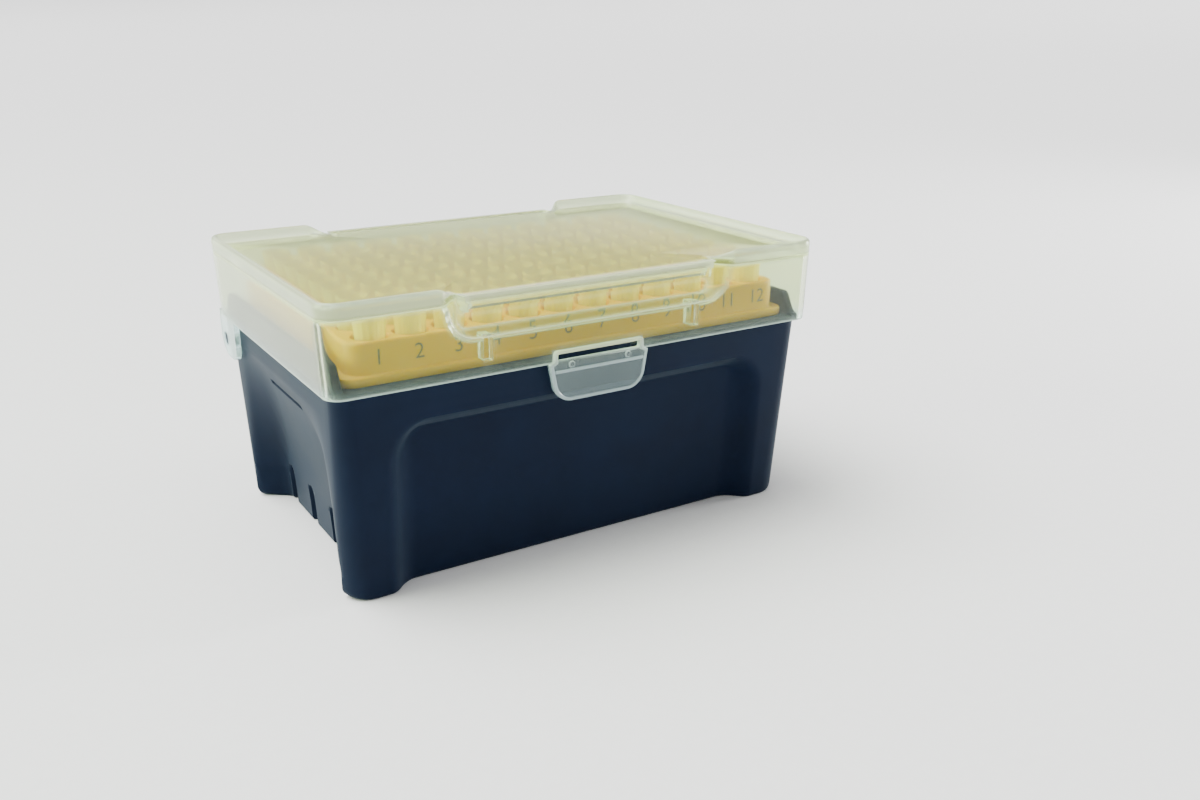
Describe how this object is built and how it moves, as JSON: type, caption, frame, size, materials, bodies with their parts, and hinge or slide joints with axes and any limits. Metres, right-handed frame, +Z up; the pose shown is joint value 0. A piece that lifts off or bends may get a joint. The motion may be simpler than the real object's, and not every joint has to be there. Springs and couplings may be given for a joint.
{
  "type": "box of pipette tips",
  "caption": "Hinged plastic box for pipette tips: dark base, yellow drop-in rack and clear lid with a latch, full of ribbed clear tips.",
  "frame": {"origin": "middle of the flat underside of the base, on the surface it stands on", "axes": "+Z up, +X along the long side, -Y towards the latch, +Y towards the hinge"},
  "size_m": [0.1252, 0.0853, 0.0684],
  "materials": {
    "base": "satin navy polypropylene",
    "rack": "satin yellow polypropylene",
    "lid": "milky clear polypropylene",
    "tips": "clear polypropylene"
  },
  "bodies": {
    "case": {"base": "base", "rack": "rack", "tips_column_01": "tips", "tips_column_02": "tips", "tips_column_03": "tips", "tips_column_04": "tips", "tips_column_05": "tips", "tips_column_06": "tips", "tips_column_07": "tips", "tips_column_08": "tips", "tips_column_09": "tips", "tips_column_10": "tips", "tips_column_11": "tips", "tips_column_12": "tips"},
    "lid": {"lid": "lid"}
  },
  "joints": [
    {"name": "lid_hinge", "type": "hinge", "parent": "case", "child": "lid", "pos_m": [0, 0.037, 0.0425], "axis": [-1, 0, 0], "range_deg": [0, 115]}
  ]
}
